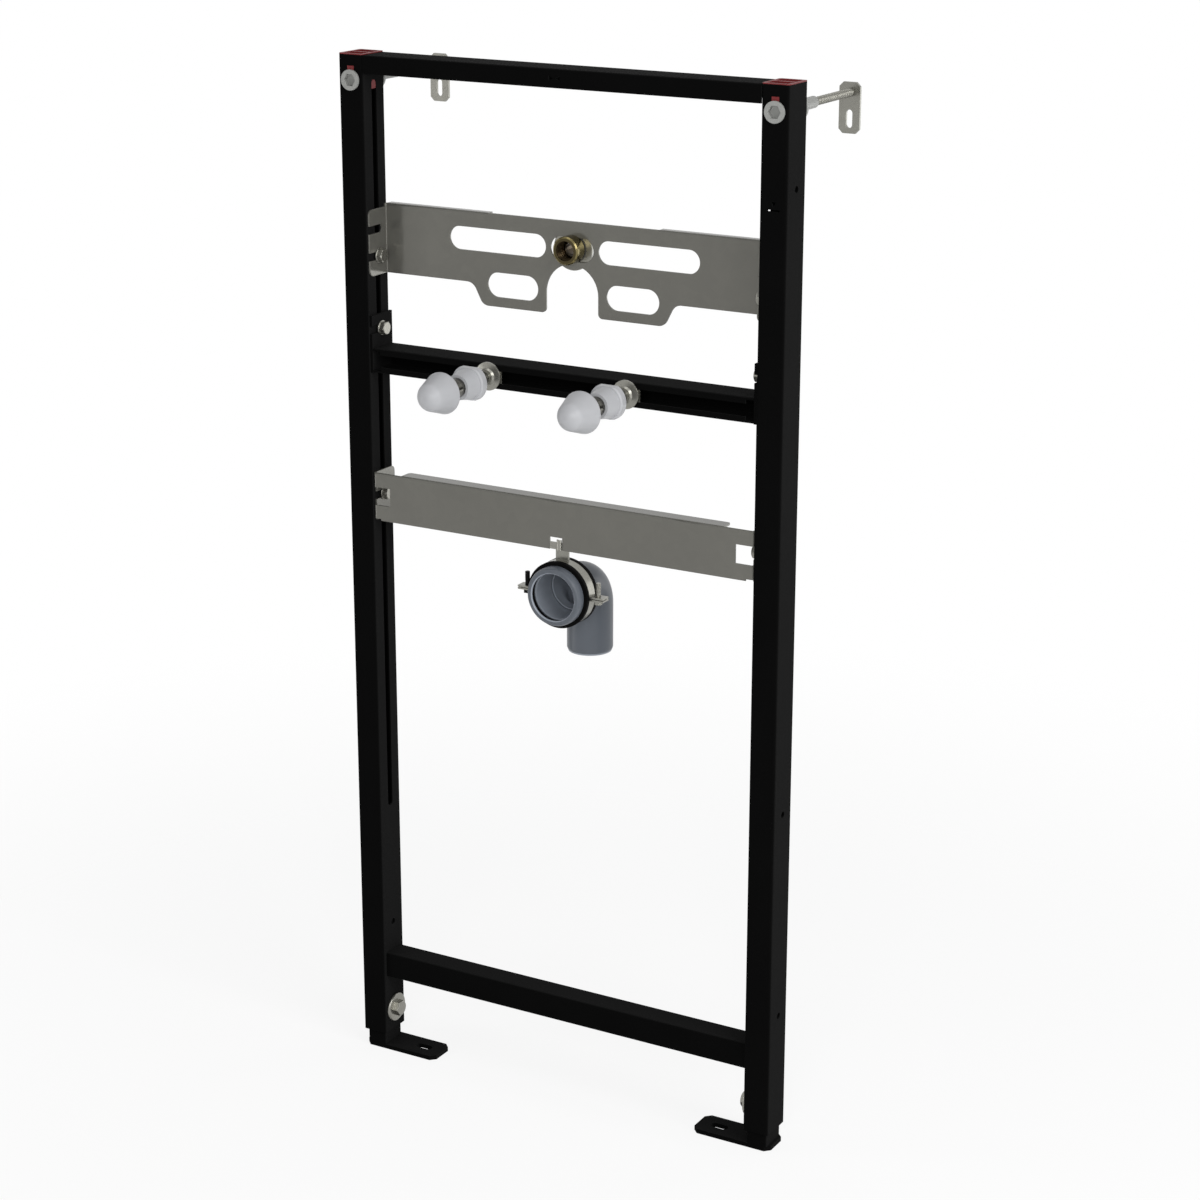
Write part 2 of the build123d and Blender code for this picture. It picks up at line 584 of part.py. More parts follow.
def water_plate():
    bottom = WATER_PLATE_BOTTOM
    slot_z = WATER_PLATE_TOP - LONG_SLOT_BELOW_TOP
    lobe_slot_z = WATER_PLATE_TOP - LOBE_SLOT_BELOW_TOP
    face = water_outline()
    for way in (-1, 1):
        long_slot = SlotOverall(LONG_SLOT_LENGTH, LONG_SLOT_WIDTH)
        lobe_slot = SlotOverall(LOBE_SLOT_LENGTH, LOBE_SLOT_WIDTH)
        face -= Pos(way * LONG_SLOT_X, slot_z) * long_slot
        face -= Pos(way * LOBE_SLOT_X, lobe_slot_z) * lobe_slot
    face -= Pos(0, slot_z) * SlotOverall(OUTLET_SLOT_LENGTH, OUTLET_SLOT_WIDTH)
    plan = folded_plan(WATER_FLANGE_FRONT, WATER_PLATE_BACK)
    strip = prism_z(plan, bottom - LOBE_DROP, WATER_PLATE_TOP)
    plate = strip & prism_y(face, WATER_FLANGE_FRONT, WATER_PLATE_BACK)
    bend_start = WATER_PLATE_FRONT - SHEET_BEND
    flange_depth = 2 * (WATER_PLATE_BACK - WATER_FLANGE_FRONT)
    flange_height = WATER_PLATE_HEIGHT - WATER_FLANGE_BELOW_TOP
    flange_face = RectangleRounded(flange_depth, flange_height, WATER_FLANGE_CORNER)
    flange_face = Pos(WATER_PLATE_BACK, bottom + flange_height / 2) * flange_face
    keep = prism_x(flange_face, -FRAME_WIDTH, FRAME_WIDTH)
    keep += block(-FRAME_WIDTH, FRAME_WIDTH, bend_start, WATER_PLATE_BACK, 0, WATER_PLATE_TOP)
    plate &= keep
    for z in (WATER_BOLT_Z, WATER_BOLT_Z + WATER_SLOT_PITCH):
        plate -= flange_slot(z)
    lip_end = INNER_X - SHEET - SHEET_BEND
    lip_top = (WATER_PLATE_TOP - SHEET, WATER_PLATE_TOP)
    for way in (-1, 1):
        ends = sorted((way * WATER_LIP_INNER, way * lip_end))
        plate += block(*ends, WATER_PLATE_FRONT, WATER_PLATE_FRONT + LIP_DEPTH, *lip_top)
        plate += prism_x(lip_root(WATER_PLATE_FRONT, WATER_PLATE_TOP), *ends)
        plate -= prism_x(lip_bend(WATER_PLATE_FRONT, WATER_PLATE_TOP), *ends)
    return plate


# Brass outlet: a turned body before the plate; behind it a washer, a lock nut and a tail
def water_outlet():
    front = WATER_PLATE_FRONT - OUTLET_BODY_LENGTH
    nut_end = LOCKNUT_START + LOCKNUT_LENGTH
    tail_end = nut_end + OUTLET_TAIL_LENGTH
    thread_end = front + OUTLET_THREAD_DEPTH
    return turned_y([
        (OUTLET_THREAD_RADIUS, front),
        (OUTLET_BODY_RADIUS - OUTLET_BODY_EDGE, front),
        (OUTLET_BODY_RADIUS, front + OUTLET_BODY_EDGE),
        (OUTLET_BODY_RADIUS, WATER_PLATE_FRONT),
        (OUTLET_SHANK_RADIUS, WATER_PLATE_FRONT),
        (OUTLET_SHANK_RADIUS, nut_end),
        (OUTLET_TAIL_RADIUS, nut_end),
        (OUTLET_TAIL_RADIUS, tail_end),
        (OUTLET_BORE_RADIUS, tail_end),
        (OUTLET_BORE_RADIUS, thread_end),
        (OUTLET_THREAD_RADIUS, thread_end),
    ], 0, OUTLET_Z)


def outlet_washer():
    ring = Circle(OUTLET_WASHER_RADIUS) - Circle(OUTLET_SHANK_RADIUS + BOLT_PLAY)
    return prism_y(Pos(0, OUTLET_Z) * ring, WATER_PLATE_BACK, LOCKNUT_START)


def outlet_locknut():
    face = hex_face(LOCKNUT_ACROSS) - Circle(OUTLET_SHANK_RADIUS + BOLT_PLAY)
    return prism_y(Pos(0, OUTLET_Z) * face, LOCKNUT_START, LOCKNUT_START + LOCKNUT_LENGTH)


# Fixing bar and the brackets at its ends
def fixing_bar():
    depth = BAR_BACK - BAR_FRONT
    middle = Pos((BAR_FRONT + BAR_BACK) / 2, BAR_BOTTOM + BAR_HEIGHT / 2)
    half = INNER_X - BRACKET_THICKNESS
    profile = middle * tube_face(depth, BAR_HEIGHT, BAR_WALL, TUBE_CORNER)
    bar = prism_x(profile, -half, half)
    mouth = (BAR_BOTTOM + BAR_LIP, BAR_BOTTOM + BAR_HEIGHT - BAR_LIP)
    bar -= block(-half, half, BAR_FRONT, BAR_FRONT + BAR_WALL, *mouth)
    for way in (-1, 1):
        ends = sorted((way * half, way * (half - BAR_LIP_CUTBACK)))
        clear = (BAR_BOTTOM + BAR_WALL, BAR_BOTTOM + BAR_HEIGHT - BAR_WALL)
        bar -= block(*ends, BAR_FRONT, BAR_FRONT + BAR_WALL, *clear)
    return bar


def bar_bracket():
    inner = INNER_X - BRACKET_THICKNESS
    plate = block(inner, INNER_X, BAR_FRONT, BAR_BACK, BAR_BOTTOM, BAR_BOTTOM + BRACKET_HEIGHT)
    return plate - flange_slot(BAR_BOTTOM + BAR_BOLT_ABOVE_BOTTOM)


# Urinal studs, each with a turned collar, a tapered bush and a domed cap
def stud():
    nut_front = BAR_FRONT + BAR_WALL
    nut = Pos(STUD_X, STUD_Z) * Rectangle(CHANNEL_NUT_SIZE, CHANNEL_NUT_SIZE)
    piece = prism_y(nut, nut_front, nut_front + CHANNEL_NUT_THICKNESS)
    mouth = BAR_HEIGHT - 2 * (BAR_LIP + STUD_PLAY)
    neck = Pos(STUD_X, STUD_Z) * Rectangle(CHANNEL_NUT_NECK, mouth)
    piece += prism_y(neck, BAR_FRONT, nut_front)
    piece += rod_y(STUD_RADIUS, cap_back() - STUD_END_IN_CAP, nut_front, STUD_X, STUD_Z)
    return piece + rod_y(SPACER_RADIUS, cap_back(), bush_front() - STUD_PLAY, STUD_X, STUD_Z)


def bush_front():
    return BAR_FRONT - BUSH_BACK_TO_BAR - BUSH_THICKNESS - BUSH_HUB_LENGTH


def cap_back():
    return bush_front() - STUD_PLAY - SPACER_LENGTH


def stud_nut():
    bore = STUD_RADIUS + STUD_PLAY
    disc_front = BAR_FRONT - FLANGE_NUT_DISC
    return turned_y([
        (bore, BAR_FRONT),
        (FLANGE_NUT_RADIUS, BAR_FRONT),
        (FLANGE_NUT_RADIUS, BAR_FRONT - FLANGE_NUT_RIM),
        (FLANGE_NUT_ROOT, disc_front),
        (FLANGE_NUT_HUB, disc_front - FLANGE_NUT_FLARE),
        (FLANGE_NUT_HUB, BAR_FRONT - FLANGE_NUT_LENGTH),
        (bore, BAR_FRONT - FLANGE_NUT_LENGTH),
    ], STUD_X, STUD_Z)


def stud_bush():
    bore = STUD_RADIUS + STUD_PLAY
    face = bush_front() + BUSH_HUB_LENGTH
    back = face + BUSH_THICKNESS
    bush = turned_y([
        (bore, back),
        (BUSH_RADIUS, back),
        (BUSH_RADIUS, face + BUSH_EDGE),
        (BUSH_RADIUS - BUSH_EDGE, face),
        (BUSH_HUB_ROOT, face),
        (BUSH_HUB_TIP, bush_front()),
        (bore, bush_front()),
    ], STUD_X, STUD_Z)
    flats = Pos(STUD_X, STUD_Z) * Rectangle(4 * BUSH_RADIUS, BUSH_FLATS)
    return bush & prism_y(flats, bush_front(), back)


def stud_cap():
    bore = STUD_RADIUS + STUD_PLAY
    back = cap_back()
    tip = back - STUD_CAP_LENGTH
    shoulder = tip + STUD_CAP_NOSE_HEIGHT
    hub = bore + STUD_CAP_WALL
    ceiling = shoulder + STUD_CAP_WALL
    ball = (STUD_CAP_NOSE_RADIUS**2 + STUD_CAP_NOSE_HEIGHT**2) / (2 * STUD_CAP_NOSE_HEIGHT)
    half_way = STUD_CAP_NOSE_RADIUS / 2
    half_way_y = tip + ball - (ball**2 - half_way**2) ** 0.5
    nose_start = (STUD_CAP_NOSE_RADIUS, shoulder)
    outline = [
        Line((0, back), (STUD_CAP_RADIUS, back)).edge(),
        Line((STUD_CAP_RADIUS, back), nose_start).edge(),
        ThreePointArc(nose_start, (half_way, half_way_y), (0, tip)).edge(),
        Line((0, tip), (0, back)).edge(),
    ]
    dome = revolve(Face(Wire(outline)), Axis.Y)
    dome -= revolve(make_face(Polyline(
        (hub, back),
        (STUD_CAP_RADIUS - STUD_CAP_WALL, back),
        (STUD_CAP_NOSE_RADIUS - STUD_CAP_WALL, ceiling),
        (hub, ceiling),
        close=True,
    )), Axis.Y)
    dome = Pos(STUD_X, 0, STUD_Z) * dome
    return dome - rod_y(bore, back - STUD_END_IN_CAP - STUD_PLAY, back, STUD_X, STUD_Z)


# Drain plate: folded strip with a lip on top, windows over its bolts and a notch for the clamp
def drain_notch(play):
    half = DRAIN_NOTCH_WIDTH / 2 - play
    return DRAIN_NOTCH_X - half, DRAIN_NOTCH_X + half


def drain_plate():
    plan = folded_plan(DRAIN_FLANGE_BACK, DRAIN_PLATE_FRONT)
    plate = prism_z(plan, DRAIN_PLATE_BOTTOM, DRAIN_PLATE_TOP)
    depth = DRAIN_FLANGE_BACK - DRAIN_PLATE_FRONT
    side_face = RectangleRounded(2 * depth, DRAIN_PLATE_HEIGHT, DRAIN_FLANGE_CORNER)
    side_face = Pos(DRAIN_PLATE_FRONT, DRAIN_PLATE_BOTTOM + DRAIN_PLATE_HEIGHT / 2) * side_face
    plate &= prism_x(side_face, -FRAME_WIDTH, FRAME_WIDTH)
    behind_web = (DRAIN_PLATE_FRONT + SHEET, DRAIN_FLANGE_BACK)
    slot_room = block(-INNER_X, INNER_X, *behind_web, DRAIN_PLATE_BOTTOM, DRAIN_PLATE_TOP)
    plate -= flange_slot(DRAIN_BOLT_Z) & slot_room
    web = (DRAIN_PLATE_FRONT, DRAIN_PLATE_FRONT + SHEET + SHEET_BEND)
    window_z = (DRAIN_BOLT_Z - DRAIN_WINDOW_HEIGHT / 2, DRAIN_BOLT_Z + DRAIN_WINDOW_HEIGHT / 2)
    for way in (-1, 1):
        window = sorted((way * INNER_X, way * (INNER_X - DRAIN_WINDOW_WIDTH)))
        relief = sorted((way * INNER_X, way * (INNER_X - DRAIN_RELIEF_WIDTH)))
        plate -= block(*window, *web, *window_z)
        plate -= block(*relief, *web, DRAIN_PLATE_BOTTOM, DRAIN_PLATE_BOTTOM + DRAIN_RELIEF_HEIGHT)
    notch_top = DRAIN_PLATE_BOTTOM + DRAIN_NOTCH_HEIGHT
    plate -= block(*drain_notch(0), *web, DRAIN_PLATE_BOTTOM, notch_top)
    lip = RectangleRounded(2 * DRAIN_LIP_HALF_LENGTH, 2 * DRAIN_LIP_DEPTH, DRAIN_LIP_CORNER)
    lip = Pos(0, DRAIN_PLATE_FRONT) * lip
    lip &= Pos(0, DRAIN_PLATE_FRONT + DRAIN_LIP_DEPTH / 2) * Rectangle(2 * INNER_X, DRAIN_LIP_DEPTH)
    plate += prism_z(lip, DRAIN_PLATE_TOP - SHEET, DRAIN_PLATE_TOP)
    bend_half = DRAIN_LIP_HALF_LENGTH - DRAIN_LIP_CORNER
    plate += prism_x(lip_root(DRAIN_PLATE_FRONT, DRAIN_PLATE_TOP), -bend_half, bend_half)
    return plate - prism_x(lip_bend(DRAIN_PLATE_FRONT, DRAIN_PLATE_TOP), -INNER_X, INNER_X)


# Drain elbow: a ring-seal socket to the front and a plain spigot down
def elbow_core(radius, y_start, z_end):
    turn = SPIGOT_Y - BEND_RADIUS
    drop = SOCKET_Z - BEND_RADIUS
    level = rod_y(radius, y_start, turn, 0, SOCKET_Z)
    start = Plane.XZ.offset(-turn) * Pos(0, SOCKET_Z) * Circle(radius)
    bend = revolve(start, Axis((0, turn, drop), (-1, 0, 0)), revolution_arc=90)
    return level + bend + rod_z(radius, z_end, drop, 0, SPIGOT_Y)


def drain_elbow():
    nose_end = SOCKET_FRONT + SOCKET_NOSE_LENGTH
    rim_end = SOCKET_FRONT + SOCKET_RIM_LENGTH
    socket_end = SOCKET_FRONT + SOCKET_LENGTH
    stop = socket_end + SOCKET_TAPER / 2
    pipe_start = socket_end + SOCKET_TAPER
    inner = PIPE_RADIUS + SOCKET_PLAY
    groove = SOCKET_FRONT + SEAL_GROOVE_START
    groove_end = groove + SEAL_LENGTH + SOCKET_PLAY
    bore = PIPE_RADIUS - PIPE_WALL
    nose_width = SOCKET_RIM_RADIUS - SOCKET_FACE_RADIUS
    nose_centre = (SOCKET_FACE_RADIUS, nose_end)
    outline = Curve() + [
        Line((0, SOCKET_FRONT), (SOCKET_FACE_RADIUS, SOCKET_FRONT)),
        EllipticalCenterArc(nose_centre, nose_width, SOCKET_NOSE_LENGTH, start_angle=-90, arc_size=90),
        Polyline(
            (SOCKET_RIM_RADIUS, nose_end),
            (SOCKET_RIM_RADIUS, rim_end),
            (SOCKET_BODY_RADIUS, rim_end),
            (SOCKET_BODY_RADIUS, socket_end),
            (PIPE_RADIUS, pipe_start),
            (0, pipe_start),
            (0, SOCKET_FRONT),
        ),
    ]
    socket = Pos(0, 0, SOCKET_Z) * revolve(make_face(outline), Axis.Y)
    hollow = turned_y([
        (0, SOCKET_FRONT),
        (inner + SOCKET_MOUTH_EDGE, SOCKET_FRONT),
        (inner, SOCKET_FRONT + SOCKET_MOUTH_EDGE),
        (inner, groove),
        (SEAL_RADIUS + SEAL_SQUEEZE, groove),
        (SEAL_RADIUS + SEAL_SQUEEZE, groove_end),
        (inner, groove_end),
        (inner, stop),
        (0, stop),
    ], 0, SOCKET_Z)
    pipe = elbow_core(PIPE_RADIUS, socket_end, SPIGOT_END_Z)
    elbow = socket + pipe
    elbow -= hollow
    elbow -= elbow_core(bore, stop, SPIGOT_END_Z)
    chamfer_end = SPIGOT_END_Z + SPIGOT_CHAMFER_LENGTH
    tip = Cone(PIPE_RADIUS - SPIGOT_CHAMFER_DEPTH, PIPE_RADIUS, SPIGOT_CHAMFER_LENGTH)
    tip = Pos(0, SPIGOT_Y, (SPIGOT_END_Z + chamfer_end) / 2) * tip
    return elbow - (rod_z(PIPE_RADIUS + CUT, SPIGOT_END_Z, chamfer_end, 0, SPIGOT_Y) - tip)


def drain_seal():
    start = SOCKET_FRONT + SEAL_GROOVE_START + SEAL_SQUEEZE / 2
    inner = PIPE_RADIUS + SOCKET_PLAY + SEAL_SQUEEZE
    return turned_y([
        (SEAL_RADIUS, start),
        (SEAL_RADIUS, start + SEAL_LENGTH),
        (inner + SEAL_TAPER, start + SEAL_LENGTH),
        (inner, start + SEAL_LENGTH / 2),
        (inner, start),
    ], 0, SOCKET_Z)


# Pipe clamp: ribbed rubber liner, two half bands with ears, screws and a hanging strap
def liner_start():
    return SOCKET_FRONT + SOCKET_RIM_LENGTH + LINER_BEHIND_RIM


def band_start():
    return liner_start() + (LINER_WIDTH - BAND_WIDTH) / 2


def band_radius():
    return SOCKET_BODY_RADIUS + CLAMP_PLAY + LINER_THICKNESS + CLAMP_PLAY


def clamp_liner():
    start = liner_start()
    end = start + LINER_WIDTH
    inner = SOCKET_BODY_RADIUS + CLAMP_PLAY
    floor = inner + LINER_THICKNESS
    return turned_y([
        (inner, start),
        (LINER_RIB_RADIUS, start),
        (LINER_RIB_RADIUS, start + LINER_RIB),
        (floor, start + LINER_RIB),
        (floor, end - LINER_RIB),
        (LINER_RIB_RADIUS, end - LINER_RIB),
        (LINER_RIB_RADIUS, end),
        (inner, end),
    ], 0, SOCKET_Z)


def half_band(way):
    inner = band_radius()
    start = band_start()
    end = start + BAND_WIDTH
    ring = Circle(inner + BAND_THICKNESS) - Circle(inner)
    low, high = sorted((way * EAR_GAP / 2, way * EAR_REACH))
    band = prism_y(Pos(0, SOCKET_Z) * ring, start, end)
    band &= block(-EAR_REACH, EAR_REACH, start, end, SOCKET_Z + low, SOCKET_Z + high)
    ear = sorted((way * EAR_GAP / 2, way * (EAR_GAP / 2 + EAR_THICKNESS)))
    ear = [SOCKET_Z + z for z in ear]
    for side in (-1, 1):
        reach = sorted((side * (inner + BAND_THICKNESS / 2), side * EAR_REACH))
        band += block(*reach, start, end, *ear)
        hole_y = (start + end) / 2
        band -= rod_z(CLAMP_SCREW_RADIUS + BOLT_PLAY, *ear, side * CLAMP_SCREW_X, hole_y)
    return band


# The upper half carries the strap. It steps forward through the drain plate's notch and hooks up
# there in a tongue, with a rolled tab on its right
def clamp_upper_half():
    band = half_band(1)
    half = STRAP_WIDTH / 2
    low = SOCKET_Z + band_radius() + BAND_THICKNESS / 2
    step = DRAIN_PLATE_BOTTOM + STRAP_STEP
    front = DRAIN_PLATE_FRONT
    foot = step - SHEET
    tongue = drain_notch(CLAMP_PLAY)
    band += block(-half, half, STRAP_Y - SHEET / 2, STRAP_Y + SHEET / 2, low, step)
    band += block(*tongue, front, STRAP_Y + SHEET / 2, foot, step)
    band += block(*tongue, front, front + SHEET, foot, foot + STRAP_HOOK_HEIGHT)
    tab = Circle(STRAP_ROLL_RADIUS) - Circle(STRAP_ROLL_RADIUS - SHEET)
    tab &= Pos(0, -STRAP_ROLL_RADIUS / 2) * Rectangle(2 * STRAP_ROLL_RADIUS, STRAP_ROLL_RADIUS)
    return band + prism_z(Pos(tongue[1] - STRAP_ROLL_RADIUS, front) * tab, foot, foot + STRAP_ROLL_HEIGHT)


def clamp_screw():
    y = band_start() + BAND_WIDTH / 2
    under = SOCKET_Z - EAR_GAP / 2 - EAR_THICKNESS
    head = Pos(CLAMP_SCREW_X, y) * hex_face(CLAMP_SCREW_HEX)
    screw = prism_z(head, under - CLAMP_SCREW_HEAD, under)
    return screw + rod_z(CLAMP_SCREW_RADIUS, under, SOCKET_Z + CLAMP_SCREW_TOP, CLAMP_SCREW_X, y)


def save(name, shape):
    solids = shape if isinstance(shape, list) else [shape]
    placed = [Pos(UPRIGHT_X, 0, 0) * solid for solid in solids]
    whole = placed[0] if len(placed) == 1 else Compound(children=placed)
    export_step(whole, os.path.join("parts", name + ".step"))


os.makedirs("parts", exist_ok=True)

PAIRS = {
    "cap": cap(),
    "leg": leg(),
    "foot_plate": foot_plate(),
    "rod_sleeve": rod_sleeve(),
    "rod_collar": rod_collar(),
    "wall_rod": wall_rod(),
    "wall_plate": wall_plate(),
    "bar_bracket": bar_bracket(),
    "stud": stud(),
    "stud_nut": stud_nut(),
    "stud_bush": stud_bush(),
    "stud_cap": stud_cap(),
    "clamp_screw": clamp_screw(),
}
for pair_name, right_piece in PAIRS.items():
    save("right_" + pair_name, right_piece)
    save("left_" + pair_name, on_side(-1, right_piece))

plain_upright = upright()
save("left_upright", on_side(-1, plain_upright))
save("right_upright", plain_upright - metre_mark())

save("top_bar", top_bar())
save("bottom_bar", bottom_bar())
save("leg_clamp_bolts", [clamp_bolt(), on_side(-1, clamp_bolt())])
save("water_plate", water_plate())
save("water_plate_bolts", bolt_pair(WATER_BOLT_Z, SHEET))
save("water_outlet", water_outlet())
save("outlet_washer", outlet_washer())
save("outlet_locknut", outlet_locknut())
save("fixing_bar", fixing_bar())
save("bar_bolts", bolt_pair(BAR_BOTTOM + BAR_BOLT_ABOVE_BOTTOM, BRACKET_THICKNESS))
save("drain_plate", drain_plate())
save("drain_plate_bolts", bolt_pair(DRAIN_BOLT_Z, SHEET))
save("drain_elbow", drain_elbow())
save("drain_seal", drain_seal())
save("clamp_liner", clamp_liner())
save("clamp_upper_half", clamp_upper_half())
save("clamp_lower_half", half_band(-1))
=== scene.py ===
import math

import bmesh
import bpy
from mathutils import Matrix, Vector


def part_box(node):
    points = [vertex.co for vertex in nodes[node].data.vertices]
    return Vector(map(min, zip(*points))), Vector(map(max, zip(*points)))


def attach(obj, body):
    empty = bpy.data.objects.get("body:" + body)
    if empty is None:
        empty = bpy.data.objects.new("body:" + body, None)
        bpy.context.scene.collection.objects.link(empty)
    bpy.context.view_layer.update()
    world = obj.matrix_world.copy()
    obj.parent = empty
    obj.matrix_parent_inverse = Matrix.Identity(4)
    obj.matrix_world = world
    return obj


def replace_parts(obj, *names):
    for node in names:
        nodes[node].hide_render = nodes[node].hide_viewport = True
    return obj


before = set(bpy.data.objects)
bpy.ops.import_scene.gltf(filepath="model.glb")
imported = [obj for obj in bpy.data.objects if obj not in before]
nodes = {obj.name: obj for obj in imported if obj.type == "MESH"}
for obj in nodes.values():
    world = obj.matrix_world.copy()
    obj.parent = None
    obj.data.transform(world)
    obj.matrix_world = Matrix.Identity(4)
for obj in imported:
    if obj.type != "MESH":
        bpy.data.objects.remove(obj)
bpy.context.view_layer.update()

scene = bpy.context.scene


# Legs and foot plates: rectangular steel tube welded on slotted steel plates.
# Both are powder coated black, with a matte polyester that has a fine orange peel.

def linear(hex_colour):
    # An sRGB colour as the linear one that a shader takes.
    channels = [int(hex_colour[i:i + 2], 16) / 255 for i in (1, 3, 5)]
    return tuple(c / 12.92 if c <= 0.04045 else ((c + 0.055) / 1.055) ** 2.4 for c in channels) + (1.0,)


def add(tree, kind, inputs=None, **settings):
    # Adds a node. A node or an output given as an input is linked, and any other value is set.
    node = tree.nodes.new(kind)
    for name, value in settings.items():
        setattr(node, name, value)
    for name, value in (inputs or {}).items():
        for each in value if isinstance(value, list) else [value]:
            if isinstance(each, bpy.types.Node):
                each = next(output for output in each.outputs if output.enabled)
            if isinstance(each, bpy.types.NodeSocket):
                tree.links.new(each, node.inputs[name])
            else:
                node.inputs[name].default_value = each
    return node


def new_material(name):
    # An empty material and the place on the piece, in metres, that its patterns follow.
    material = bpy.data.materials.new(name)
    material.use_nodes = True
    tree = material.node_tree
    tree.nodes.clear()
    return material, tree, add(tree, "ShaderNodeTexCoord").outputs["Object"]


# How deep a grain stands out at full strength, and how finely a broken edge is worked out.
RELIEF = 0.0002
EDGE_SAMPLES = 6


def surface(tree, inputs, edge, grain, strength):
    # Ends a material in a shader with its sharp edges broken and its grain standing out a little.
    broken = add(tree, "ShaderNodeBevel", {"Radius": edge}, samples=EDGE_SAMPLES)
    bump = add(tree, "ShaderNodeBump", {
        "Strength": strength, "Distance": RELIEF, "Height": grain, "Normal": broken,
    })
    shader = add(tree, "ShaderNodeBsdfPrincipled", {**inputs, "Normal": bump})
    add(tree, "ShaderNodeOutputMaterial", {"Surface": shader})


def coat(material, *names):
    # Gives CAD nodes this material.
    for name in names:
        slots = nodes[name].data.materials
        slots.clear()
        slots.append(material)


# A pattern's scale is so many millimetres in a metre over its real size in millimetres.
MM_PER_M = 1000

# Matte and almost without a mirror. Its sides and tops are painted greyer than its deep black front, as
# painted light. The back, which is not seen, is taken to be like the front.
powder_coat, tree, place = new_material("black polyester powder coat")
cloud = add(tree, "ShaderNodeTexNoise", {"Vector": place, "Scale": MM_PER_M / 60, "Detail": 3.0})
deep_black = add(tree, "ShaderNodeMix", {
    "Factor": cloud, "A": linear("#080808"), "B": linear("#0c0c0c"),
}, data_type="RGBA")
painted_light_black = add(tree, "ShaderNodeMix", {
    "Factor": cloud, "A": linear("#181818"), "B": linear("#1c1c1c"),
}, data_type="RGBA")
# Faces towards the front and back stay deep black, and the others are painted paler: painted light.
facing = add(tree, "ShaderNodeSeparateXYZ", {0: add(tree, "ShaderNodeNewGeometry").outputs["Normal"]})
front_back = add(tree, "ShaderNodeMath", {0: facing.outputs["Y"]}, operation="ABSOLUTE")
front_back = add(tree, "ShaderNodeMapRange", {"Value": front_back, "From Min": 0.3, "From Max": 0.8})
tone = add(tree, "ShaderNodeMix", {
    "Factor": front_back, "A": painted_light_black, "B": deep_black,
}, data_type="RGBA")
sheen = add(tree, "ShaderNodeMapRange", {"Value": cloud, "To Min": 0.72, "To Max": 0.8})
# Orange peel is about 1 mm across, and is drawn coarser so that it shows.
peel = add(tree, "ShaderNodeTexNoise", {"Vector": place, "Scale": MM_PER_M / 2.6})
surface(tree, {
    "Base Color": tone, "Roughness": sheen, "Specular IOR Level": 0.008,
}, edge=0.0006, grain=peel, strength=0.12)
coat(powder_coat, "left_leg", "right_leg", "left_foot_plate", "right_foot_plate")


# Uprights and cross bars: slotted and drilled tube, a folded top bar and a square bottom bar.
# All are of steel, welded to one frame and powder coated with the legs.

coat(powder_coat, "left_upright", "right_upright", "top_bar", "bottom_bar")


# End caps: red polypropylene plugs pressed into the uprights' tops.
# They are moulded, with ribs on top and snap lugs that show in the front and in the slots.

# A matte grain keeps the red soft, with only the rims catching a paler line of light.
red_plastic, tree, place = new_material("red polypropylene")
flow = add(tree, "ShaderNodeTexNoise", {"Vector": place, "Scale": MM_PER_M / 18})
tone = add(tree, "ShaderNodeMix", {
    "Factor": flow, "A": linear("#682325"), "B": linear("#742a2b"),
}, data_type="RGBA")
# Spark erosion leaves a grain of about 0.1 mm, drawn coarser so that it shows.
grain = add(tree, "ShaderNodeTexNoise", {"Vector": place, "Scale": MM_PER_M / 1.2})
surface(tree, {
    "Base Color": tone, "Roughness": 0.48, "Specular IOR Level": 0.2,
}, edge=0.0006, grain=grain, strength=0.12)
coat(red_plastic, "left_cap", "right_cap")


# Wall brackets: a pale sleeve and collar of polyamide in each upright, a zinc plated threaded
# rod screwed into the sleeve, and a slotted steel plate on the rod's end for the wall screw.

# Unpigmented plastic, a little grey, whose clouds show that it is not paint.
natural_plastic, tree, place = new_material("natural polyamide")
flow = add(tree, "ShaderNodeTexNoise", {"Vector": place, "Scale": MM_PER_M / 9, "Detail": 3.0})
tone = add(tree, "ShaderNodeMix", {
    "Factor": flow, "A": linear("#8f908d"), "B": linear("#9c9d9a"),
}, data_type="RGBA")
surface(tree, {
    "Base Color": tone, "Roughness": 0.4, "Specular IOR Level": 0.25,
}, edge=0.0006, grain=flow, strength=0.06)

# A bright, faintly mottled plating, with sharp lights on rounded edges and dull flats.
zinc, tree, place = new_material("zinc plated steel")
mottle = add(tree, "ShaderNodeTexNoise", {"Vector": place, "Scale": MM_PER_M / 5, "Detail": 3.0})
tone = add(tree, "ShaderNodeMix", {
    "Factor": mottle, "A": linear("#83827b"), "B": linear("#8f8e87"),
}, data_type="RGBA")
sheen = add(tree, "ShaderNodeMapRange", {"Value": mottle, "To Min": 0.24, "To Max": 0.32})
surface(tree, {
    "Base Color": tone, "Metallic": 0.85, "Roughness": sheen,
}, edge=0.0004, grain=mottle, strength=0.03)
for side in ("left", "right"):
    coat(natural_plastic, side + "_rod_sleeve", side + "_rod_collar")
    coat(zinc, side + "_wall_rod", side + "_wall_plate")


def new_tree(name, **sockets):
    # An empty Geometry Nodes tree with these inputs and one shape as its output.
    tree = bpy.data.node_groups.new(name, "GeometryNodeTree")
    for socket, kind in sockets.items():
        tree.interface.new_socket(socket, in_out="INPUT", socket_type="NodeSocket" + kind)
    tree.interface.new_socket("Shape", in_out="OUTPUT", socket_type="NodeSocketGeometry")
    return tree, add(tree, "NodeGroupInput").outputs


def close_tree(tree, shape, metal):
    # Ends a tree in one plain shape of this metal.
    real = add(tree, "GeometryNodeRealizeInstances", {"Geometry": shape})
    add(tree, "NodeGroupOutput", {
        "Shape": add(tree, "GeometryNodeSetMaterial", {"Geometry": real, "Material": metal}),
    })


